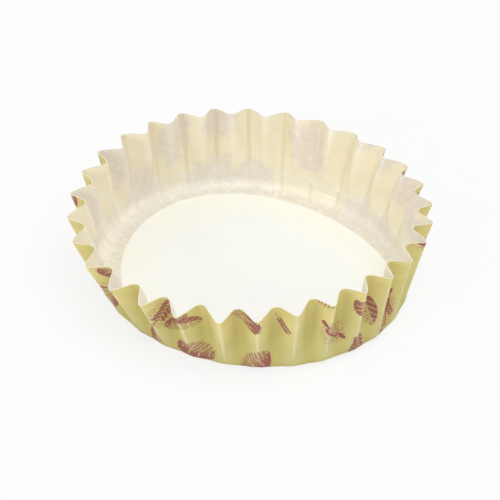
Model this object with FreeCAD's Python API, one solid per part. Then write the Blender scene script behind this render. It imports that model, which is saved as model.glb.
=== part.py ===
import FreeCAD, Part
import math
import os

# A fluted cupcake liner, pressed from one round sheet of paper, in millimetres.
# +Z up, origin at the middle of the underside of the floor.
#
# The sheet keeps its length, so its wall is a fan of flat facets: every fold line is straight and runs from
# one point of the round foot line up to a fold at the edge, where all folds end at the same distance.

doc = FreeCAD.newDocument("cupcake_liner")
vec = FreeCAD.Vector

SIZES = [
    ("paper", 0.2, "thickness of the paper with its lining film"),
    ("floor_diameter", 62.0, "flat floor that the liner stands on"),
    ("foot_diameter", 70.4, "outside, where the pleats start"),
    ("foot_height", 2.2, "height of the foot line above the floor's underside"),
    ("corner_radius", 1.9, "outside radius of the turn from the sloping band to the foot line"),
    ("corner_facets", 4, "flat strips that make the turn"),
    ("rim_diameter", 82.0, "outside, across the outer folds at the edge of the paper"),
    ("wall_length", 17.0, "paper from the foot line to the edge, along any fold"),
    ("pleats", 30, "number of pleats"),
    ("pleat_depth", 3.9, "from an outer fold to an inner fold at the edge"),
    ("outer_fold", 0.85, "radius of an outer fold at the edge, at the middle of the paper"),
    ("inner_fold", 1.6, "radius of an inner fold at the edge, at the middle of the paper"),
    ("fold_facets", 6, "flat strips round each fold"),
    ("crowding", 1.1, "degrees by which the pleats are pushed round towards +X"),
    ("out_of_round", 0.9, "how far the rim is pulled out of a circle, on its radius"),
    ("first_fold", -112.3, "direction of the first outer fold in degrees, anticlockwise from +X"),
]

sheet = doc.addObject("Spreadsheet::Sheet", "Sizes")
for row, (alias, value, note) in enumerate(SIZES, start=1):
    sheet.set(f"A{row}", alias)
    sheet.set(f"B{row}", str(value))
    sheet.setAlias(f"B{row}", alias)
    sheet.set(f"C{row}", note)
doc.recompute()


def size(alias):
    """A size as the sheet holds it."""
    return float(sheet.get(alias))


paper = size("paper")
floor_radius = size("floor_diameter") / 2
foot_radius = size("foot_diameter") / 2
foot_height = size("foot_height")
corner_radius = size("corner_radius")
corner_facets = int(size("corner_facets"))
rim_radius = size("rim_diameter") / 2
wall_length = size("wall_length")
pleats = int(size("pleats"))
pleat_depth = size("pleat_depth")
outer_fold = size("outer_fold")
inner_fold = size("inner_fold")
fold_facets = int(size("fold_facets"))
crowding = math.radians(size("crowding"))
out_of_round = size("out_of_round")
first_fold = math.radians(size("first_fold"))

folds = 2 * pleats
OUTSIDE, INSIDE = 0.5, -0.5


def radial(angle, radius, height=0.0):
    """A point at that direction, radius and height."""
    return vec(radius * math.cos(angle), radius * math.sin(angle), height)


# Folds, counted anticlockwise: even ones are outer folds and odd ones inner folds


def fold_direction(fold):
    """Direction of a fold, evenly spaced and then pushed a little towards +X."""
    even = first_fold + fold * math.pi / pleats
    return even - crowding * math.sin(even)


def fold_tip(fold):
    """Radius of a fold at the edge, at the middle of the paper."""
    pull = out_of_round * math.sin(2 * fold_direction(fold))
    tip = rim_radius - paper / 2 + pull
    return tip if fold % 2 == 0 else tip - pleat_depth


def fold_centre(fold):
    """Middle of a fold's round at the edge."""
    step = -outer_fold if fold % 2 == 0 else inner_fold
    return radial(fold_direction(fold), fold_tip(fold) + step)


def edge_height(fold):
    """Height of the edge at a fold, which lies the wall's length from the foot line."""
    lean = fold_tip(fold) - (foot_radius - paper / 2)
    return foot_height + math.sqrt(wall_length**2 - lean**2)


def flank_normal(outer, inner):
    """Outward unit normal of the straight flank between an outer fold and an inner fold beside it."""
    across = fold_centre(inner) - fold_centre(outer)
    unit = across / across.Length
    along = (outer_fold + inner_fold) / across.Length
    square = vec(-unit.y, unit.x, 0)
    if square.dot(fold_centre(outer)) < 0:
        square = -square
    return unit * along + square * math.sqrt(1 - along**2)


def fold_round(fold, skin):
    """The edge of the paper round one fold on one skin, from the flank before it to the flank after it."""
    before, after = fold - 1, fold + 1
    if fold % 2 == 0:
        normals = flank_normal(fold, before), flank_normal(fold, after)
        radius = outer_fold + skin * paper
    else:
        normals = -flank_normal(before, fold), -flank_normal(after, fold)
        radius = inner_fold - skin * paper
    start, end = (math.atan2(normal.y, normal.x) for normal in normals)
    turn = (end - start + math.pi) % (2 * math.pi) - math.pi
    lift = fold_centre(fold) + vec(0, 0, edge_height(fold))
    return [lift + radial(start + turn * step / fold_facets, radius) for step in range(fold_facets + 1)]


# Rings below the foot line: the floor's edge and the turn up to the wall


def corner_profile(skin):
    """Radius and height of each ring on one skin, from the floor's edge to the foot line."""
    inset = paper * (0.5 - skin)
    centre = foot_radius - corner_radius, foot_height
    reach = math.hypot(centre[0] - floor_radius, centre[1])
    slope = math.atan2(centre[1], centre[0] - floor_radius) - math.asin(corner_radius / reach)
    rings = [(floor_radius - inset * math.tan(slope / 2), inset)]
    for step in range(corner_facets + 1):
        angle = slope - math.pi / 2 + (math.pi / 2 - slope) * step / corner_facets
        radius = corner_radius - inset
        rings.append((centre[0] + radius * math.cos(angle), centre[1] + radius * math.sin(angle)))
    return rings


def ring_points(radius, height):
    """The points of a ring, one under each fold."""
    return [radial(fold_direction(fold), radius, height) for fold in range(folds)]


def facet(*points):
    """A flat face with those corners."""
    return Part.Face(Part.makePolygon([*points, points[0]]))


def skin_facets(skin):
    """Every facet of one skin, and the edge of the paper round each fold."""
    rings = [ring_points(*ring) for ring in corner_profile(skin)]
    rounds = [fold_round(fold, skin) for fold in range(folds)]
    foot = rings[-1]
    faces = [facet(*rings[0])]
    for fold in range(folds):
        after = (fold + 1) % folds
        for low, high in zip(rings, rings[1:]):
            faces.append(facet(low[fold], low[after], high[after], high[fold]))
        for near, far in zip(rounds[fold], rounds[fold][1:]):
            faces.append(facet(foot[fold], near, far))
        crest, valley = (fold, after) if fold % 2 == 0 else (after, fold)
        flank = rounds[fold][-1], rounds[after][0]
        valley_end = flank[1] if fold % 2 == 0 else flank[0]
        faces.append(facet(foot[crest], *flank))
        faces.append(facet(foot[crest], foot[valley], valley_end))
    return faces, rounds


def cut_edge(outer_rounds, inner_rounds):
    """The cut edge of the paper, between the two skins."""
    outer = [point for one in outer_rounds for point in one]
    inner = [point for one in inner_rounds for point in one]
    count = len(outer)
    return [facet(outer[i], outer[(i + 1) % count], inner[(i + 1) % count], inner[i]) for i in range(count)]


outer_faces, outer_rounds = skin_facets(OUTSIDE)
inner_faces, inner_rounds = skin_facets(INSIDE)
shell = Part.makeShell([*outer_faces, *inner_faces, *cut_edge(outer_rounds, inner_rounds)])
shell.sewShape()
folded = Part.makeSolid(shell)
if folded.Volume < 0:
    folded.reverse()

liner = doc.addObject("Part::Feature", "Liner")
liner.Label = "liner"
liner.Shape = folded
liner.Placement = FreeCAD.Placement()
doc.recompute()

for item in doc.Objects:
    if "Invalid" in item.State or "Error" in item.State:
        raise RuntimeError(f"{item.Label} failed: {item.State}")

os.makedirs("parts", exist_ok=True)
for piece in [liner]:
    shape = piece.Shape
    if shape.isNull() or not shape.isValid() or len(shape.Solids) != 1 or shape.Volume <= 0:
        raise RuntimeError(f"{piece.Label} is not one valid solid")
    shape.exportStep(f"parts/{piece.Label}.step")
    box = shape.BoundBox
    print(
        piece.Label,
        f"{box.XLength:.2f} x {box.YLength:.2f} x {box.ZLength:.2f} mm,",
        f"{shape.Volume:.1f} mm3, {len(shape.Faces)} faces",
    )
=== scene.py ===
import math

import bpy
from mathutils import Matrix, Vector


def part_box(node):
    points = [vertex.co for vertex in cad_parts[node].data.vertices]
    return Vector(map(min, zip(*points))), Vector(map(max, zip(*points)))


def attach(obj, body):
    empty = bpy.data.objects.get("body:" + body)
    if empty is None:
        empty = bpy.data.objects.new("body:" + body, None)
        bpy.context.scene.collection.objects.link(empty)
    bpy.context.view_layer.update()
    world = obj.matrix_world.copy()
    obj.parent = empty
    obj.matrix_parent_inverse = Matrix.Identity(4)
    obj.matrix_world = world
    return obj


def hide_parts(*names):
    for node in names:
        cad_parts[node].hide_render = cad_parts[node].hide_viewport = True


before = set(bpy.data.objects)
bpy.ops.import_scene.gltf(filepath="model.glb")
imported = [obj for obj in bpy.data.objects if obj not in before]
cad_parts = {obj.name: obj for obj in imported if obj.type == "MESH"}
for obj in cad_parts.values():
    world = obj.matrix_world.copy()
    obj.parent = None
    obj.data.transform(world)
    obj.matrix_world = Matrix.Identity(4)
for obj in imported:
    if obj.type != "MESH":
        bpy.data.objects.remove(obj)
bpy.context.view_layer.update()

bl_info = {
    "name": "Pleated Cupcake Liner",
    "version": (1, 0, 0),
    "blender": (4, 5, 0),
    "location": "3D View > Sidebar > Cupcake Liner",
    "description": "Folds a printed, film-lined paper cupcake liner and sets it under studio light",
    "category": "Object",
}

# Driving dimensions, from the frame

liner_low, liner_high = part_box("liner")
rim_diameter = (liner_high.x - liner_low.x + liner_high.y - liner_low.y) / 2
liner_height = liner_high.z - liner_low.z
mm = 0.001


def length(name, value, text):
    """A size property, in metres."""
    return bpy.props.FloatProperty(
        name=name, description=text, default=value, min=0.0, precision=5, subtype="DISTANCE", unit="LENGTH"
    )


def turn(name, degrees, text):
    """An angle property, written here in degrees."""
    return bpy.props.FloatProperty(
        name=name, description=text, default=math.radians(degrees), subtype="ANGLE", unit="ROTATION"
    )


def share(name, value, text):
    """A plain number from nought to one."""
    return bpy.props.FloatProperty(name=name, description=text, default=value, min=0.0, max=1.0)


def tint(name, value, text):
    """A colour property, in linear red, green and blue."""
    return bpy.props.FloatVectorProperty(
        name=name, description=text, default=value, size=3, min=0.0, max=1.0, subtype="COLOR"
    )


class LinerSizes(bpy.types.PropertyGroup):
    """The sizes that the liner is folded to."""

    paper: length("Paper", 0.2 * mm, "Thickness of the paper with its lining film")
    floor: length("Floor", rim_diameter * 0.758, "Diameter of the flat floor")
    foot: length("Foot", rim_diameter * 0.872, "Outside diameter where the pleats start")
    foot_height: length("Foot height", 3.3 * mm, "Height of the foot line")
    corner: length("Corner", 3.1 * mm, "Outside radius of the turn up to the foot line")
    rim: length("Rim", rim_diameter + 0.21 * mm, "Outside diameter across the outer folds at the edge")
    wall: length("Wall", liner_height - 3.5 * mm, "Paper from the foot line to the edge")
    depth: length("Pleat depth", 3.8 * mm, "From an outer fold to an inner fold at the edge")
    outer_fold: length("Outer fold", 0.85 * mm, "Radius of an outer fold at the edge")
    inner_fold: length("Inner fold", 1.6 * mm, "Radius of an inner fold at the edge")
    out_of_round: length("Out of round", 1.9 * mm, "How far the rim is pulled out of a circle")
    dip: length("Dip", 0.7 * mm, "How far the edge sinks where the rim is pulled out")
    long_way: turn("Long way", 46.7, "Direction in which the rim is pulled out")
    lean_x: length("Lean across", 1.8 * mm, "How far the floor lies towards +X from the rim's middle")
    lean_y: length("Lean forward", 0.4 * mm, "How far the floor lies towards -Y from the rim's middle")
    pleats: bpy.props.IntProperty(name="Pleats", description="Number of pleats", default=30, min=6, max=80)
    first_fold: turn("First fold", -112.3, "Direction of the first outer fold from +X")
    crowding: turn("Crowding", 0.59, "How far the pleats are pushed round towards one side")
    pairing: turn("Pairing", 0.95, "How far the pleats are pushed round towards two sides")
    unevenness: share("Unevenness", 0.5, "How much the pleats differ from each other")
    seed: bpy.props.IntProperty(name="Seed", description="Picks another set of uneven pleats", default=4)


class PaperColours(bpy.types.PropertyGroup):
    """The colours of the paper, its print and its lining."""

    paper: tint("Paper", (0.86, 0.748, 0.335), "Pale yellow outside of the paper")
    ink: tint("Ink", (0.31, 0.05, 0.078), "Maroon print on the outside")
    lining: tint("Lining", (0.94, 0.87, 0.68), "Cream film on the inside of the wall")
    floor: tint("Floor", (0.95, 0.965, 0.93), "White film on the inside of the floor")
    edge: tint("Cut edge", (0.88, 0.84, 0.66), "Bare cut edge of the paper")
    show_through: share("Show-through", 0.75, "How strongly the print shows through to the inside")


class StudioSettings(bpy.types.PropertyGroup):
    """The camera and the light."""

    around: turn("Around", -3.48, "Way round the liner from the front, anticlockwise from above")
    elevation: turn("Elevation", 36.08, "Height of the camera above the horizon")
    roll: turn("Roll", 4.77, "Turn of the camera about its own line of sight")
    distance: length("Distance", 650.5 * mm, "From the camera to the middle of the rim")
    light: bpy.props.FloatProperty(
        name="Light", description="Level of the light, 1 for plain", default=1.0, min=0.0, max=4.0
    )
    backdrop: tint("Backdrop", (1.0, 1.0, 1.0), "Colour behind the liner")


# Sums written as they are read, worked out by nodes


def add_node(tree, kind, **settings):
    """A new node, set in rows in the order of making."""
    count = len(tree.nodes)
    node = tree.nodes.new(kind)
    node.location = (190 * (count % 14), -230 * (count // 14))
    for name, value in settings.items():
        setattr(node, name, value)
    return node


def feed(tree, socket, value):
    """Joins a value to a socket, or sets the socket to a plain one."""
    if isinstance(value, Wire):
        tree.links.new(value.socket, socket)
    else:
        socket.default_value = value


def socket_named(sockets, name):
    """The socket in use with that name."""
    return next(s for s in sockets if s.name == name and s.enabled)


def wire_up(tree, kind, inputs=None, **settings):
    """A new node with its inputs joined or set by name."""
    node = add_node(tree, kind, **settings)
    for name, value in (inputs or {}).items():
        feed(tree, socket_named(node.inputs, name), value)
    return node


class Wire:
    """A value in a node tree. A sum written with it adds the nodes that work it out."""

    def __init__(self, tree, socket):
        self.tree = tree
        self.socket = socket

    def sum(self, operation, *others):
        node = add_node(self.tree, "ShaderNodeMath", operation=operation)
        for socket, value in zip(node.inputs, (self, *others)):
            feed(self.tree, socket, value)
        return Wire(self.tree, node.outputs[0])

    def __add__(self, other):
        return self.sum("ADD", other)

    def __radd__(self, other):
        return self.sum("ADD", other)

    def __sub__(self, other):
        return self.sum("SUBTRACT", other)

    def __rsub__(self, other):
        return (self * -1.0).sum("ADD", other)

    def __mul__(self, other):
        return self.sum("MULTIPLY", other)

    def __rmul__(self, other):
        return self.sum("MULTIPLY", other)

    def __truediv__(self, other):
        return self.sum("DIVIDE", other)

    def sin(self):
        return self.sum("SINE")

    def cos(self):
        return self.sum("COSINE")

    def tan(self):
        return self.sum("TANGENT")

    def root(self):
        return self.sum("SQRT")

    def arctan(self, other):
        return self.sum("ARCTAN2", other)

    def size(self):
        return self.sum("ABSOLUTE")

    def sign(self):
        return self.sum("SIGN")

    def whole(self):
        return self.sum("FLOOR")

    def part(self):
        return self.sum("FRACT")

    def least(self, other):
        return self.sum("MINIMUM", other)

    def most(self, other):
        return self.sum("MAXIMUM", other)

    def below(self, other):
        return self.sum("LESS_THAN", other)

    def above(self, other):
        return self.sum("GREATER_THAN", other)

    def wrap(self, period):
        return self.sum("FLOORED_MODULO", period)

    def between(self, low, high):
        return self.most(low).least(high)

    def ramp(self, start, end):
        """0 up to start, 1 from end on, smooth between."""
        node = wire_up(
            self.tree,
            "ShaderNodeMapRange",
            {"Value": self, "From Min": start, "From Max": end, "To Min": 0.0, "To Max": 1.0},
            interpolation_type="SMOOTHSTEP",
        )
        return Wire(self.tree, node.outputs["Result"])

    def towards(self, other, amount):
        """Mix of this number and another."""
        return self + (other - self) * amount


def split(tree, vector):
    """The x, y and z of a vector."""
    node = wire_up(tree, "ShaderNodeSeparateXYZ", {"Vector": vector})
    return [Wire(tree, node.outputs[axis]) for axis in "XYZ"]


def join(tree, x, y, z=0.0):
    """A vector from its x, y and z."""
    return Wire(tree, wire_up(tree, "ShaderNodeCombineXYZ", {"X": x, "Y": y, "Z": z}).outputs["Vector"])


def noise(tree, vector, scale, detail=2.0, roughness=0.5):
    """Smooth noise, about 0.5."""
    node = wire_up(
        tree,
        "ShaderNodeTexNoise",
        {"Vector": vector, "Scale": scale, "Detail": detail, "Roughness": roughness},
    )
    return Wire(tree, node.outputs["Fac"])


# The folding of the sheet, as a geometry tree

COLUMNS_A_PLEAT = 28
FLOOR_ROWS, BAND_ROWS, CORNER_ROWS, WALL_ROWS = 4, 7, 6, 22
ROWS = FLOOR_ROWS + BAND_ROWS + CORNER_ROWS + WALL_ROWS
FOLDS_A_PLEAT = 2.0
MAP_SHARE = 0.75  # what the rim's diameter measures on the flat sheet's map

TREE_INPUTS = [
    ("Paper", "NodeSocketFloat", "paper"),
    ("Floor", "NodeSocketFloat", "floor"),
    ("Foot", "NodeSocketFloat", "foot"),
    ("Foot Height", "NodeSocketFloat", "foot_height"),
    ("Corner", "NodeSocketFloat", "corner"),
    ("Rim", "NodeSocketFloat", "rim"),
    ("Wall", "NodeSocketFloat", "wall"),
    ("Pleat Depth", "NodeSocketFloat", "depth"),
    ("Outer Fold", "NodeSocketFloat", "outer_fold"),
    ("Inner Fold", "NodeSocketFloat", "inner_fold"),
    ("Out of Round", "NodeSocketFloat", "out_of_round"),
    ("Dip", "NodeSocketFloat", "dip"),
    ("Long Way", "NodeSocketFloat", "long_way"),
    ("Lean Across", "NodeSocketFloat", "lean_x"),
    ("Lean Forward", "NodeSocketFloat", "lean_y"),
    ("Pleats", "NodeSocketInt", "pleats"),
    ("First Fold", "NodeSocketFloat", "first_fold"),
    ("Crowding", "NodeSocketFloat", "crowding"),
    ("Pairing", "NodeSocketFloat", "pairing"),
    ("Unevenness", "NodeSocketFloat", "unevenness"),
    ("Seed", "NodeSocketInt", "seed"),
]


class Fold:
    """The named inputs of the folding tree as wires, and what follows from them."""

    def __init__(self, tree, entry):
        self.tree = tree
        for name, _, key in TREE_INPUTS:
            setattr(self, key, Wire(tree, entry.outputs[name]))
        self.foot_radius = self.foot / 2 - self.paper / 2
        self.rim_radius = self.rim / 2 - self.paper / 2
        self.turn_radius = self.corner - self.paper / 2
        self.turn_centre = self.foot / 2 - self.corner
        run = self.turn_centre - self.floor / 2
        reach = (run * run + self.foot_height * self.foot_height).root()
        self.slope = self.foot_height.arctan(run) - (self.corner / reach).sum("ARCSINE")
        self.floor_radius = self.floor / 2 - self.paper / 2 * (self.slope / 2).tan()


def vary(fold, step, amount, salt):
    """A random number for each fold, between minus and plus amount, smooth from fold to fold."""
    tree = fold.tree
    count = fold.pleats * FOLDS_A_PLEAT
    first = step.whole()
    picks = []
    for number in (first, first + 1.0):
        node = wire_up(
            tree,
            "FunctionNodeRandomValue",
            {"Min": -1.0, "Max": 1.0, "ID": number.wrap(count) + 0.5, "Seed": fold.seed + float(salt)},
            data_type="FLOAT",
        )
        picks.append(Wire(tree, socket_named(node.outputs, "Value")))
    return picks[0].towards(picks[1], step.part().ramp(0.0, 1.0)) * fold.unevenness * amount


def pleat_wave(fold, step):
    """How far along and how far in the paper lies between an outer fold and the next, at the edge.

    The paper goes round the outer fold, straight down the flank and round the inner fold.
    step counts folds, even ones outer. Returned are the place along, in folds, and the depth.
    """
    leap = (step + 1.0).wrap(2.0) - 1.0
    half_pitch = (fold.rim_radius - fold.depth / 2) * math.pi / fold.pleats
    both = fold.outer_fold + fold.inner_fold
    drop = fold.depth - both
    flank = (half_pitch * half_pitch + drop * drop - both * both).root()
    lean = drop.arctan(half_pitch) + both.arctan(flank)
    whole = both * lean + flank
    run = leap.size() * whole
    outer = (run / fold.outer_fold).least(lean)
    straight = (run - fold.outer_fold * lean).between(0.0, flank)
    inner = ((whole - run) / fold.inner_fold).between(0.0, lean)
    along = outer.sin() * fold.outer_fold + straight * lean.cos()
    along = along + (lean.sin() - inner.sin()) * fold.inner_fold
    depth = (1.0 - outer.cos()) * fold.outer_fold + straight * lean.sin()
    depth = depth + (inner.cos() - lean.cos()) * fold.inner_fold
    return step - leap + leap.sign() * along / half_pitch, depth


def rows_to_paper(row):
    """Shares of the floor, band, corner and wall passed at a row."""
    shares = []
    start = 0
    for rows in (FLOOR_ROWS, BAND_ROWS, CORNER_ROWS, WALL_ROWS):
        shares.append(((row - float(start)) / float(rows)).between(0.0, 1.0))
        start += rows
    return shares


def fold_sheet(tree, fold):
    """Each point's place on the folded and on the flat sheet, and how far in and how far up it lies."""
    x, y, _ = split(tree, Wire(tree, add_node(tree, "GeometryNodeInputPosition").outputs[0]))
    step = (x + 0.5) * fold.pleats * FOLDS_A_PLEAT
    floor, band, corner, wall = rows_to_paper((y + 0.5) * float(ROWS))

    # Floor, band and corner
    quarter = math.pi / 2 - fold.slope
    turned = fold.slope - math.pi / 2 + corner * quarter
    band_run = fold.turn_centre + fold.slope.sin() * fold.turn_radius - fold.floor_radius
    band_rise = fold.foot_height - fold.slope.cos() * fold.turn_radius - fold.paper / 2
    radius = floor * fold.floor_radius + band * band_run
    radius = radius + (turned.cos() - fold.slope.sin()) * fold.turn_radius
    height = fold.paper / 2 + band * band_rise + (turned.sin() + fold.slope.cos()) * fold.turn_radius

    # Pleats, which start as a slight ripple in the band and deepen up the wall
    wave_step, wave_depth = pleat_wave(fold, step)
    at_foot = 0.07
    pressed = band.ramp(0.1, 0.9) * 0.6 + corner * 0.4
    ripple = pressed * at_foot * wave_depth
    grow = wall * (2.2 - wall * 1.2)
    depth = wave_depth * (1.0 + vary(fold, step, 0.22, 11)) * grow * (1.0 - at_foot)

    # Direction, with the pleats crowded towards one side and towards two
    shift = vary(fold, step, 0.16, 23) * (corner * 0.5 + wall * 0.5)
    place = step + (wave_step - step) * (wall.ramp(-0.5, 1.0) * 0.3 + wall * 0.7) + shift
    even = fold.first_fold + place * math.pi / fold.pleats
    crowded_at, paired_at = 0.22, 0.68
    direction = even - (even - crowded_at).sin() * fold.crowding
    direction = direction - ((even - paired_at) * 2.0).sin() * fold.pairing

    # Wall
    oval = ((direction - fold.long_way) * 2.0).cos()
    tip = fold.rim_radius + oval * fold.out_of_round + vary(fold, step, 0.35 * mm, 37)
    lean = (tip - fold.foot_radius) * wall - depth
    slant = wall * fold.wall * (1.0 + vary(fold, step, 0.014, 53))
    radius = radius + lean - turned.cos() * ripple
    height = height + (slant * slant - lean * lean).most(0.0).root() - turned.sin() * ripple
    height = height - oval * fold.dip * wall

    # Small puckers where the corner was pressed
    flat_turn = fold.first_fold + step * math.pi / fold.pleats
    ring = join(tree, flat_turn.cos() * 17.0, flat_turn.sin() * 17.0, band + corner + wall * 4.0)
    deepest = 0.9 * mm
    crease = (noise(tree, ring, 1.0, 1.5) - 0.5) * deepest
    pucker = crease * band.ramp(0.0, 0.7) * (1.0 - corner.ramp(0.1, 0.7)) * fold.unevenness
    radius = radius - turned.cos() * pucker
    height = (height - turned.sin() * pucker).most(fold.paper / 2)

    under = 1.0 - corner * 0.35 - wall * 0.65
    spot_x = direction.cos() * radius + fold.lean_x * under
    spot_y = direction.sin() * radius - fold.lean_y * under
    spot = join(tree, spot_x, spot_y, height)
    passed = floor * fold.floor_radius + band * (band_run * band_run + band_rise * band_rise).root()
    passed = passed + corner * quarter * fold.turn_radius + wall * fold.wall
    reach = passed / fold.rim * MAP_SHARE
    flat = join(tree, flat_turn.cos() * reach + 0.5, flat_turn.sin() * reach + 0.5)
    inward = wave_depth / fold.depth
    up = band * 0.15 + corner * 0.1 + wall * 0.75
    return spot, flat, inward, up


def build_fold_tree():
    """The geometry tree that folds the liner from one round sheet."""
    tree = bpy.data.node_groups.new("fold_pleated_liner", "GeometryNodeTree")
    for name, kind, _ in TREE_INPUTS:
        tree.interface.new_socket(name, in_out="INPUT", socket_type=kind)
    tree.interface.new_socket("Outside", in_out="INPUT", socket_type="NodeSocketMaterial")
    tree.interface.new_socket("Geometry", in_out="OUTPUT", socket_type="NodeSocketGeometry")
    entry = add_node(tree, "NodeGroupInput")
    fold = Fold(tree, entry)
    columns = fold.pleats * float(COLUMNS_A_PLEAT) + 1.0
    sheet = wire_up(
        tree,
        "GeometryNodeMeshGrid",
        {"Size X": 1.0, "Size Y": 1.0, "Vertices X": columns, "Vertices Y": ROWS + 1},
    )
    spot, flat, inward, up = fold_sheet(tree, fold)
    steps = [
        (
            "GeometryNodeStoreNamedAttribute",
            {"Name": "in_pleat", "Value": join(tree, inward, up)},
            {"data_type": "FLOAT_VECTOR", "domain": "POINT"},
        ),
        (
            "GeometryNodeStoreNamedAttribute",
            {"Name": "flat_sheet", "Value": flat},
            {"data_type": "FLOAT2", "domain": "CORNER"},
        ),
        ("GeometryNodeSetPosition", {"Position": spot}, {}),
        ("GeometryNodeMergeByDistance", {"Distance": 0.001 * mm}, {}),
        ("GeometryNodeSetShadeSmooth", {}, {}),
        ("GeometryNodeRealizeInstances", {}, {}),
        ("GeometryNodeSetMaterial", {"Material": Wire(tree, entry.outputs["Outside"])}, {}),
    ]
    made = sheet.outputs["Mesh"]
    for kind, inputs, settings in steps:
        node = wire_up(tree, kind, {"Geometry": Wire(tree, made), **inputs}, **settings)
        made = node.outputs["Geometry"]
    leave = add_node(tree, "NodeGroupOutput")
    tree.links.new(made, leave.inputs["Geometry"])
    return tree


# Shader groups that more than one paper uses

SHEET_ACROSS = 109.3  # mm that one unit of the flat sheet's map stands for
MOTIF_SHRINK = 1.13  # how much smaller a motif is than its cell allows


def shader_group(name, inputs, outputs):
    """An empty shader group with its sockets, and its entry and exit."""
    tree = bpy.data.node_groups.new(name, "ShaderNodeTree")
    for label, kind, value in inputs:
        socket = tree.interface.new_socket(label, in_out="INPUT", socket_type=kind)
        if value is not None:
            socket.default_value = value
    for label in outputs:
        tree.interface.new_socket(label, in_out="OUTPUT", socket_type="NodeSocketFloat")
    return tree, add_node(tree, "NodeGroupInput"), add_node(tree, "NodeGroupOutput")


def shift_by(tree, vector, x, y):
    """A vector moved in x and y."""
    node = add_node(tree, "ShaderNodeVectorMath", operation="ADD")
    feed(tree, node.inputs[0], vector)
    feed(tree, node.inputs[1], (x, y, 0.0))
    return Wire(tree, node.outputs[0])


def scale_by(tree, vector, factor):
    """A vector times a number."""
    node = add_node(tree, "ShaderNodeVectorMath", operation="SCALE")
    feed(tree, node.inputs[0], vector)
    feed(tree, node.inputs["Scale"], factor)
    return Wire(tree, node.outputs[0])


def scatter(tree, vector, looseness):
    """Cells of about one unit: place in the nearest cell, turned at random, and three random numbers."""
    node = wire_up(
        tree,
        "ShaderNodeTexVoronoi",
        {"Vector": vector, "Scale": 1.0, "Randomness": looseness},
        voronoi_dimensions="2D",
        feature="F1",
    )
    offset = add_node(tree, "ShaderNodeVectorMath", operation="SUBTRACT")
    feed(tree, offset.inputs[0], vector)
    tree.links.new(node.outputs["Position"], offset.inputs[1])
    x, y, _ = split(tree, Wire(tree, offset.outputs[0]))
    colour = wire_up(tree, "ShaderNodeSeparateColor", {"Color": Wire(tree, node.outputs["Color"])})
    dice = [Wire(tree, colour.outputs[name]) for name in ("Red", "Green", "Blue")]
    turned = dice[0] * math.tau
    across = (x * turned.cos() + y * turned.sin()) * MOTIF_SHRINK
    up = (y * turned.cos() - x * turned.sin()) * MOTIF_SHRINK
    return across, up, dice


def within(value, limit, soft):
    """1 where a value is under a limit, with a soft edge."""
    return 1.0 - value.ramp(limit - soft, soft + limit)


def square(value):
    """A value times itself."""
    return value * value


def wheat_ear(x, y, soft):
    """A stem with a double row of slanted grains."""
    stem = within((y - (x * 3.0).sin() * 0.02).size(), 0.010, soft) * within(x.size(), 0.44, soft)
    beside = y.size()
    grain = ((x + beside * 0.9) * 11.0).part() - 0.5
    seed = square(grain * 2.2) + square((beside - 0.062) / 0.050)
    return stem.most(within(seed, 1.0, soft * 12.0) * within((x - 0.12).size(), 0.28, soft))


def rolling_pin(x, y, soft, scribble):
    """A rolling pin with two handles, hatched along its length and solid on its shaded side."""
    shape = square(square(x / 0.25)) + square(square(y / 0.10))
    hatch = ((y - x * x * 0.3) * 170.0).sin().ramp(-0.3, 0.5)
    solid = (shape * 0.5 - y * 5.0 + scribble * 0.3 - 0.3).ramp(0.0, 0.4)
    barrel = within(shape, 1.0, soft * 14.0) * (hatch * 0.8).most(solid)
    ends = x.size()
    handles = within(square((ends - 0.34) / 0.08) + square(y / 0.036), 1.0, soft * 20.0)
    necks = within(y.size(), 0.016, soft) * within((ends - 0.26).size(), 0.03, soft)
    return barrel.most(handles).most(necks)


def loaf(x, y, soft, scribble):
    """A loaf in dense engraving, solid on its shaded side, with thin bare cuts."""
    shape = square(x / 0.36) + square(y / 0.22) + (scribble - 0.5) * 0.22
    inside = within(shape, 1.0, soft * 8.0)
    hatch = ((x * 0.9 + y * 1.6 + x * y * 2.0) * 62.0).sin().ramp(-0.75, 0.15)
    solid = (shape * 0.35 - y * 3.0 + x * 1.2 + scribble * 0.35).ramp(0.0, 0.35)
    cuts = ((x + y * 0.6) * 5.6).part() - 0.5
    bare = within(cuts.size(), 0.07, soft * 5.0) * within(shape, 0.5, soft * 5.0)
    return (inside * (hatch * 0.75).most(solid) - bare).most(0.0)


def leaf(x, y, soft, scribble):
    """A hatched, pointed leaf with a bare midrib and bare veins, darker on one half, and a short stalk."""
    half = (1.0 - square(x / 0.36)) * 0.16
    blade = within(y.size() - half, 0.0, soft)
    hatch = ((x * 0.7 + y) * 110.0).sin().ramp(-0.6, 0.3)
    solid = (scribble * 0.5 - y * 9.0).ramp(0.0, 0.5)
    veins = ((x - y.size() * 0.9) * 8.0).part() - 0.5
    bare = within(veins.size(), 0.06, 0.05).most(within(y.size(), 0.008, soft))
    stalk = within((y - (x + 0.36) * 0.2).size(), 0.012, soft) * within((x + 0.42).size(), 0.07, soft)
    return (blade * (hatch * 0.75).most(solid) - bare).most(0.0).most(stalk)


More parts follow.
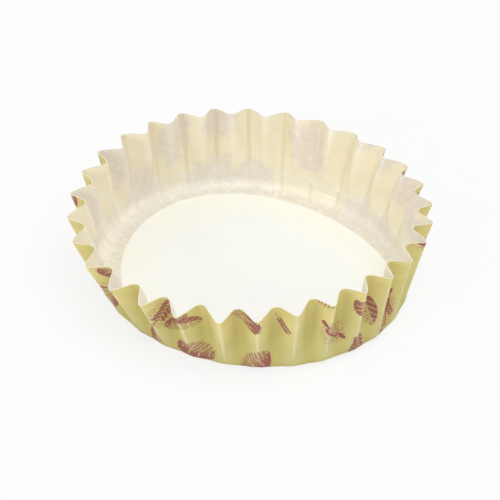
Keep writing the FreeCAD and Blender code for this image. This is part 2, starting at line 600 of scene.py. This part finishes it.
def build_print_group():
    """Scattered bakery motifs in fine engraved lines, the wear of the ink, and soft patches round them."""
    tree, entry, leave = shader_group(
        "bakery_print",
        [
            ("Vector", "NodeSocketVector", None),
            ("Cells", "NodeSocketFloat", 7.2),
        ],
        ["Ink", "Wear", "Patches"],
    )
    vector = Wire(tree, entry.outputs["Vector"])
    cells = Wire(tree, entry.outputs["Cells"])
    soft = 0.008
    wobble = add_node(tree, "ShaderNodeTexNoise")
    feed(tree, wobble.inputs["Vector"], vector)
    wobble.inputs["Scale"].default_value = 70.0
    nudge = add_node(tree, "ShaderNodeVectorMath", operation="MULTIPLY_ADD")
    tree.links.new(wobble.outputs["Color"], nudge.inputs[0])
    nudge.inputs[1].default_value = (0.0035, 0.0035, 0.0)
    feed(tree, nudge.inputs[2], vector)
    place = Wire(tree, nudge.outputs[0])
    scribble = noise(tree, vector, 260.0, 2.0).ramp(0.42, 0.58)

    large = shift_by(tree, scale_by(tree, place, cells), 11.6, 9.2)
    x, y, dice = scatter(tree, large, 0.8)
    kind = dice[1]
    ragged = square(x / 0.58) + square(y / 0.42) + (noise(tree, vector, 38.0, 3.0, 0.6) - 0.5) * 3.2
    patches = within(ragged, 0.75, 0.45) * (0.55 + noise(tree, vector, 90.0, 2.0).ramp(0.35, 0.6) * 0.45)
    ink = wheat_ear(x, y, soft) * kind.below(0.22)
    ink = ink.most(rolling_pin(x, y, soft, scribble) * kind.above(0.22) * kind.below(0.48))
    ink = ink.most(loaf(x, y, soft, scribble) * kind.above(0.48) * kind.below(0.74))
    ink = ink.most(leaf(x, y, soft, scribble) * kind.above(0.74))

    blot = square(x / 0.36) + square(y / 0.27) + (scribble - 0.5) * 0.35
    contour = (noise(tree, vector, 62.0, 2.0) * 11.0).part()
    lines = within((contour - 0.5).size(), 0.20, 0.09)
    shade = within(blot, 0.9, 0.15) * lines * (0.35 + scribble * 0.4)
    ink = ink.most(shade * dice[2].above(0.45))

    small = shift_by(tree, scale_by(tree, place, cells * 1.8), 3.7, 8.2)
    x, y, dice = scatter(tree, small, 0.9)
    kind = dice[1]
    ink = ink.most(wheat_ear(x, y, soft) * kind.below(0.13))
    ink = ink.most(loaf(x, y, soft, scribble) * kind.above(0.13) * kind.below(0.26))
    ink = ink.most(leaf(x, y, soft, scribble) * kind.above(0.26) * kind.below(0.36))

    grain = noise(tree, vector, 420.0, 2.0)
    tree.links.new(ink.socket, leave.inputs["Ink"])
    tree.links.new(patches.socket, leave.inputs["Patches"])
    tree.links.new(grain.ramp(0.36, 0.58).socket, leave.inputs["Wear"])
    return tree


def build_grain_group():
    """The surface of thin greaseproof paper: fibres, faint laid lines and soft clouds."""
    tree, entry, leave = shader_group(
        "paper_grain", [("Vector", "NodeSocketVector", None)], ["Fibres", "Clouds", "Laid Lines"]
    )
    vector = Wire(tree, entry.outputs["Vector"])
    x, y, _ = split(tree, vector)
    fibres = noise(tree, join(tree, x, y * 2.2), 330.0, 4.0, 0.62)
    clouds = noise(tree, vector, 22.0, 2.0)
    rings = (square(x - 0.5) + square(y - 0.5)).root()
    pitch = 0.75  # mm
    lines = (rings * SHEET_ACROSS * math.tau / pitch + noise(tree, vector, 14.0) * 4.0).sin()
    tree.links.new(fibres.socket, leave.inputs["Fibres"])
    tree.links.new(clouds.socket, leave.inputs["Clouds"])
    tree.links.new((lines * 0.5 + 0.5).socket, leave.inputs["Laid Lines"])
    return tree


# Papers


class Paper:
    """A new material with its shader, the map of the flat sheet, and the place in the pleat.

    inward is 0 on an outer fold and 1 on an inner fold, up is 0 on the floor and 1 at the edge.
    """

    def __init__(self, name):
        self.material = bpy.data.materials.new(name)
        self.material.use_nodes = True
        self.tree = self.material.node_tree
        self.shader = self.tree.nodes["Principled BSDF"]
        place = add_node(self.tree, "ShaderNodeUVMap", uv_map="flat_sheet")
        self.flat = Wire(self.tree, place.outputs["UV"])
        pleat = add_node(self.tree, "ShaderNodeAttribute", attribute_name="in_pleat")
        self.inward, self.up, _ = split(self.tree, Wire(self.tree, pleat.outputs["Vector"]))

    def group(self, tree):
        """The outputs, by name, of a shader group laid out on the flat sheet."""
        node = add_node(self.tree, "ShaderNodeGroup")
        node.node_tree = tree
        feed(self.tree, node.inputs["Vector"], self.flat)
        return {output.name: Wire(self.tree, output) for output in node.outputs}

    def blend(self, low, high, amount):
        """A colour between two, by a mask."""
        node = add_node(self.tree, "ShaderNodeMix", data_type="RGBA")
        for name, value in (("Factor", amount), ("A", low), ("B", high)):
            socket = socket_named(node.inputs, name)
            if isinstance(value, tuple):
                value = (*value, 1.0)
            feed(self.tree, socket, value)
        return Wire(self.tree, socket_named(node.outputs, "Result"))

    def bump(self, height, distance, strength):
        """The surface raised by a height."""
        node = wire_up(self.tree, "ShaderNodeBump", {"Height": height})
        node.inputs["Strength"].default_value = strength
        node.inputs["Distance"].default_value = distance
        self.tree.links.new(node.outputs["Normal"], self.shader.inputs["Normal"])

    def put(self, **inputs):
        """Joins or sets the shader's inputs."""
        for name, value in inputs.items():
            label = name.replace("_", " ").title().replace("Ior", "IOR")
            if isinstance(value, tuple):
                value = (*value, 1.0)
            feed(self.tree, self.shader.inputs[label], value)


def toned(colour, red, green, blue):
    """A colour with each channel multiplied."""
    return (colour[0] * red, colour[1] * green, colour[2] * blue)


def printed_paper(colours, print_group, grain_group):
    """The yellow outside of the paper with its maroon print."""
    paper = Paper("printed_paper")
    mark = paper.group(print_group)
    grain = paper.group(grain_group)
    base = tuple(colours.paper)
    deep = toned(base, 0.90, 0.90, 0.78)
    ground = paper.blend(deep, base, (grain["Clouds"] * 0.9 + grain["Laid Lines"] * 0.1).ramp(0.25, 0.75))
    ground = paper.blend(ground, deep, grain["Fibres"].ramp(0.5, 0.75) * 0.35)
    # Painted shade: the outside grows darker and greyer towards the floor, where the liner meets it.
    low = toned(base, 0.72, 0.775, 0.75)
    ground = paper.blend(ground, low, (1.0 - paper.up.ramp(0.15, 1.0)) * 0.9)
    # Painted shade: the grooves of the pleats are darkened towards olive, from the foot up, less near the
    # rim.
    painted_groove_shade = toned(base, 0.68, 0.675, 0.48)
    shade = paper.inward.ramp(0.1, 1.0) * paper.up.ramp(0.0, 0.2) * (1.0 - paper.up.ramp(0.5, 1.0) * 0.5)
    ground = paper.blend(ground, painted_groove_shade, shade * 0.85)
    # Painted highlight: a pale line down each outer fold, from the lower wall up to the edge.
    painted_fold_highlight = toned(base, 1.14, 1.18, 1.7)
    fold_highlight_mask = (1.0 - paper.inward.ramp(0.0, 0.05)) * paper.up.ramp(0.2, 0.4)
    ground = paper.blend(ground, painted_fold_highlight, fold_highlight_mask * 0.45)
    pressed = grain["Laid Lines"] * paper.up.ramp(0.82, 0.92)
    ground = paper.blend(ground, deep, pressed * 0.55)
    thick = mark["Ink"] * (0.70 + mark["Wear"] * 0.28)
    paper.put(base_color=paper.blend(ground, tuple(colours.ink), thick))
    paper.put(roughness=0.62 - mark["Ink"] * 0.1 + grain["Fibres"] * 0.1, specular_ior_level=0.35)
    height = grain["Fibres"] * 0.6 + grain["Laid Lines"] * 0.08 - pressed * 1.2 + mark["Ink"] * 0.15
    paper.bump(height, 0.035 * mm, 0.8)
    return paper.material


def lined_paper(colours, sizes, print_group, grain_group):
    """The cream inside with its glossy film, white on the floor, where the print shows through faintly."""
    paper = Paper("film_lining")
    mark = paper.group(print_group)
    grain = paper.group(grain_group)
    x, y, _ = split(paper.tree, paper.flat)
    way = (y - 0.5).arctan(x - 0.5)
    wander = (way * 3.0 + 0.47).cos() * 0.9 - (way * 2.0).sin() * 0.5
    out = (square(x - 0.5) + square(y - 0.5)).root() - wander / SHEET_ACROSS
    edge = sizes.floor / sizes.rim * MAP_SHARE / 2
    on_floor = 1.0 - out.ramp(edge - 0.0015, edge + 0.0015)
    middle = 1.0 - out.ramp(edge * 0.62, edge)
    wall = tuple(colours.lining)
    warm = toned(wall, 0.965, 0.95, 0.90)
    white = tuple(colours.floor)
    cream = toned(white, 1.0, 0.985, 0.93)
    cloudy = (grain["Clouds"] * 0.8 + grain["Fibres"] * 0.2).ramp(0.3, 0.7)
    side = paper.blend(warm, wall, cloudy)
    # Painted shade: narrow tan lines along the outer folds, which are grooves on the inside, from the band
    # up.
    tan = toned(wall, 0.84, 0.80, 0.68)
    line = (1.0 - paper.inward.ramp(0.0, 0.14)) * paper.up.ramp(0.03, 0.15)
    side = paper.blend(side, tan, line * 0.8)
    base = paper.blend(cream, white, middle)
    through = toned(wall, 0.84, 0.82, 0.98)
    side = paper.blend(side, through, mark["Patches"] * colours.show_through)
    bluish = toned(white, 0.965, 0.97, 0.99)
    base = paper.blend(base, bluish, mark["Patches"] * colours.show_through * 0.6)
    pressed = out.ramp(edge - 0.002, edge + 0.006) * (1.0 - out.ramp(edge + 0.018, edge + 0.045))
    creases = noise(paper.tree, paper.flat, 75.0, 3.0, 0.6)
    # Painted shade: the pressed band at the foot is greyed and darkened, most where the creases run.
    dull = toned(wall, 0.83, 0.85, 0.92)
    side = paper.blend(side, dull, pressed * (0.45 + creases.ramp(0.4, 0.6) * 0.55))
    # Painted light: the lining is lightened round the corner at the foot, where the concave turn lies in
    # shade.
    painted_corner_light = paper.up.ramp(0.08, 0.22) * (1.0 - paper.up.ramp(0.26, 0.45))
    side = paper.blend(side, white, painted_corner_light * 0.22)
    # Painted highlights: small white glints scattered over the pressed band.
    painted_glint = noise(paper.tree, paper.flat, 95.0, 2.0, 0.6).ramp(0.62, 0.68)
    side = paper.blend(side, white, pressed * painted_glint * 0.9)
    paper.put(base_color=paper.blend(side, base, on_floor))
    paper.put(roughness=0.34 + grain["Clouds"] * 0.16, specular_ior_level=0.5)
    paper.shader.inputs["Coat Weight"].default_value = 0.5
    paper.shader.inputs["Coat Roughness"].default_value = 0.12
    paper.bump(grain["Fibres"] * 0.25 + creases * pressed * 9.0, 0.06 * mm, 0.9)
    return paper.material


def cut_edge(colours, grain_group):
    """The bare cut edge of the paper."""
    paper = Paper("cut_edge")
    grain = paper.group(grain_group)
    pale = tuple(colours.edge)
    dull = toned(pale, 0.9, 0.9, 0.9)
    paper.put(base_color=paper.blend(dull, pale, grain["Fibres"].ramp(0.35, 0.65)), roughness=0.8)
    return paper.material


# Folding


def new_object(context, name, data):
    """A new object in the scene."""
    item = bpy.data.objects.new(name, data)
    context.collection.objects.link(item)
    return item


def plain_mesh(context, item):
    """What an object's modifiers make of it, as a plain mesh. The object is removed."""
    context.view_layer.update()
    ready = item.evaluated_get(context.evaluated_depsgraph_get())
    mesh = bpy.data.meshes.new_from_object(ready)
    bpy.data.objects.remove(item, do_unlink=True)
    if len(mesh.polygons) < 1000:
        raise RuntimeError("the modifiers made no sheet")
    return mesh


class LINER_OT_fold(bpy.types.Operator):
    """Folds the liner from its sizes and gives it its papers"""

    bl_idname = "liner.fold"
    bl_label = "Fold the Liner"
    bl_options = {"REGISTER", "UNDO"}

    def execute(self, context):
        sizes = context.scene.liner_sizes
        colours = context.scene.liner_colours
        print_group = build_print_group()
        grain_group = build_grain_group()
        papers = [
            printed_paper(colours, print_group, grain_group),
            lined_paper(colours, sizes, print_group, grain_group),
            cut_edge(colours, grain_group),
        ]
        tree = build_fold_tree()
        blank = new_object(context, "liner_blank", bpy.data.meshes.new("liner_blank"))
        folding = blank.modifiers.new("Folding", "NODES")
        folding.node_group = tree
        sockets = {item.name: item.identifier for item in tree.interface.items_tree}
        for name, _, key in TREE_INPUTS:
            folding[sockets[name]] = getattr(sizes, key)
        folding[sockets["Outside"]] = papers[0]
        sheet = plain_mesh(context, blank)
        sheet.materials.clear()
        for paper in papers:
            sheet.materials.append(paper)
        thin = new_object(context, "liner_sheet", sheet)
        skin = thin.modifiers.new("Thickness", "SOLIDIFY")
        skin.thickness = sizes.paper
        skin.offset = 0.0
        skin.material_offset = 1
        skin.material_offset_rim = 2
        mesh = plain_mesh(context, thin)
        mesh.uv_layers["flat_sheet"].active_render = True
        mesh.set_sharp_from_angle(angle=math.radians(60))
        liner = new_object(context, "pleated_liner", mesh)
        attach(liner, "root")
        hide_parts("liner")
        return {"FINISHED"}


# Stage

LAMPS = [
    # Name, size in metres, power in watts, place
    ("key_light", 0.8, 5.5, (0.20, -0.25, 1.1)),
    ("side_light", 0.35, 2.55, (-0.9, -0.9, 0.42)),
]
LEVEL_ALL_ROUND = 0.62
LENS, SENSOR = 210.0, 36.0


def area_lamp(context, name, size, power, place):
    """A soft square lamp turned to the middle of the floor."""
    lamp = bpy.data.lights.new(name, "AREA")
    lamp.shape = "SQUARE"
    lamp.size = size
    lamp.energy = power
    holder = new_object(context, name, lamp)
    holder.location = place
    holder.rotation_euler = Vector(place).to_track_quat("Z", "Y").to_euler()


def seen_by_eye(tree, path):
    """1 for what the camera sees, straight, in a gloss or through something clear."""
    eye = Wire(tree, path.outputs["Is Camera Ray"])
    eye = eye.most(Wire(tree, path.outputs["Is Glossy Ray"]))
    return eye.most(Wire(tree, path.outputs["Is Transmission Ray"]))


def mix_shaders(tree, amount, first, second):
    """The output of a mix of two shaders."""
    mix = wire_up(tree, "ShaderNodeMixShader", {"Fac": amount})
    tree.links.new(first, mix.inputs[1])
    tree.links.new(second, mix.inputs[2])
    return mix.outputs["Shader"]


def white_floor(context, colour):
    """A wide pale floor that keeps the liner's shadow, lights what it touches, and is clear from below."""
    half = 3.0
    level = -0.03 * mm
    glow_seen, glow_touched = 0.82, 0.6
    mesh = bpy.data.meshes.new("studio_floor")
    corners = [(-half, -half, level), (half, -half, level), (half, half, level), (-half, half, level)]
    mesh.from_pydata(corners, [], [(0, 1, 2, 3)])
    material = bpy.data.materials.new("studio_white")
    material.use_nodes = True
    tree = material.node_tree
    shader = tree.nodes["Principled BSDF"]
    shader.inputs["Base Color"].default_value = (0.9, 0.9, 0.9, 1.0)
    shader.inputs["Roughness"].default_value = 0.9
    glow = add_node(tree, "ShaderNodeEmission")
    glow.inputs["Color"].default_value = (*colour, 1.0)
    path = add_node(tree, "ShaderNodeLightPath")
    near = Wire(tree, path.outputs["Ray Length"]).below(1.0 * mm)
    touching = Wire(tree, path.outputs["Is Diffuse Ray"]) * near
    amount = (seen_by_eye(tree, path) * glow_seen).most(touching * glow_touched)
    lit = mix_shaders(tree, amount, shader.outputs["BSDF"], glow.outputs["Emission"])
    side = add_node(tree, "ShaderNodeNewGeometry")
    clear = add_node(tree, "ShaderNodeBsdfTransparent")
    one_way = mix_shaders(tree, Wire(tree, side.outputs["Backfacing"]), lit, clear.outputs["BSDF"])
    tree.links.new(one_way, tree.nodes["Material Output"].inputs["Surface"])
    mesh.materials.append(material)
    new_object(context, "studio_floor", mesh)


def white_world(context, colour, level):
    """Even light from all round, and plain white where the camera looks past the floor."""
    world = bpy.data.worlds.new("studio")
    world.use_nodes = True
    tree = world.node_tree
    light = tree.nodes["Background"]
    light.inputs["Color"].default_value = (1.0, 1.0, 1.0, 1.0)
    light.inputs["Strength"].default_value = level
    plain = add_node(tree, "ShaderNodeBackground")
    plain.inputs["Color"].default_value = (*colour, 1.0)
    plain.inputs["Strength"].default_value = 1.0
    path = add_node(tree, "ShaderNodeLightPath")
    backs = light.outputs["Background"], plain.outputs["Background"]
    mixed = mix_shaders(tree, seen_by_eye(tree, path), *backs)
    tree.links.new(mixed, tree.nodes["World Output"].inputs["Surface"])
    context.scene.world = world


def set_camera(context, studio):
    """A long lens that looks down into the liner, turned a little about its own axis."""
    dipped, aim_down, aim_left = 0.97 * mm, 9.14 * mm, 0.4 * mm
    rim_centre = Vector((0.0, 0.0, liner_height - dipped))
    around = Matrix.Rotation(studio.around, 3, "Z")
    lift = studio.elevation
    back = around @ Vector((0.0, -math.cos(lift), math.sin(lift)))
    right = around @ Vector((1.0, 0.0, 0.0))
    up = around @ Vector((0.0, math.sin(lift), math.cos(lift)))
    tilt = studio.roll
    rolled_right = right * math.cos(tilt) + up * math.sin(tilt)
    rolled_up = up * math.cos(tilt) - right * math.sin(tilt)
    aim = rim_centre - rolled_up * aim_down - rolled_right * aim_left
    lens = bpy.data.cameras.new("camera")
    lens.lens = LENS
    lens.sensor_width = SENSOR
    lens.clip_start = 0.01
    lens.clip_end = 20.0
    camera = new_object(context, "camera", lens)
    facing = Matrix((rolled_right, rolled_up, back)).transposed().to_4x4()
    camera.matrix_world = Matrix.Translation(aim + back * studio.distance) @ facing
    context.scene.camera = camera


class LINER_OT_stage(bpy.types.Operator):
    """Sets the white floor, the soft studio light and the camera"""

    bl_idname = "liner.stage"
    bl_label = "Set the Stage"
    bl_options = {"REGISTER", "UNDO"}

    def execute(self, context):
        studio = context.scene.liner_studio
        colour = tuple(studio.backdrop)
        white_floor(context, colour)
        white_world(context, colour, LEVEL_ALL_ROUND * studio.light)
        for name, size, power, place in LAMPS:
            area_lamp(context, name, size, power * studio.light, place)
        set_camera(context, studio)
        context.scene.view_settings.view_transform = "Standard"
        return {"FINISHED"}


# Panel and registration


class LINER_PT_panel(bpy.types.Panel):
    """The liner's sizes, colours and steps"""

    bl_idname = "LINER_PT_panel"
    bl_label = "Cupcake Liner"
    bl_space_type = "VIEW_3D"
    bl_region_type = "UI"
    bl_category = "Cupcake Liner"

    def draw(self, context):
        layout = self.layout
        scene = context.scene
        for title, group in (
            ("Sizes", scene.liner_sizes),
            ("Colours", scene.liner_colours),
            ("Studio", scene.liner_studio),
        ):
            box = layout.box()
            box.label(text=title)
            for name in group.__annotations__:
                box.prop(group, name)
        layout.operator("liner.fold")
        layout.operator("liner.stage")


CLASSES = (LinerSizes, PaperColours, StudioSettings, LINER_OT_fold, LINER_OT_stage, LINER_PT_panel)


def register():
    """Adds the classes and the scene's settings."""
    for item in CLASSES:
        bpy.utils.register_class(item)
    bpy.types.Scene.liner_sizes = bpy.props.PointerProperty(type=LinerSizes)
    bpy.types.Scene.liner_colours = bpy.props.PointerProperty(type=PaperColours)
    bpy.types.Scene.liner_studio = bpy.props.PointerProperty(type=StudioSettings)


def unregister():
    """Takes them away again."""
    del bpy.types.Scene.liner_sizes
    del bpy.types.Scene.liner_colours
    del bpy.types.Scene.liner_studio
    for item in reversed(CLASSES):
        bpy.utils.unregister_class(item)


def main():
    """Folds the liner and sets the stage."""
    register()
    bpy.ops.liner.fold()
    bpy.ops.liner.stage()


if __name__ == "__main__":
    main()
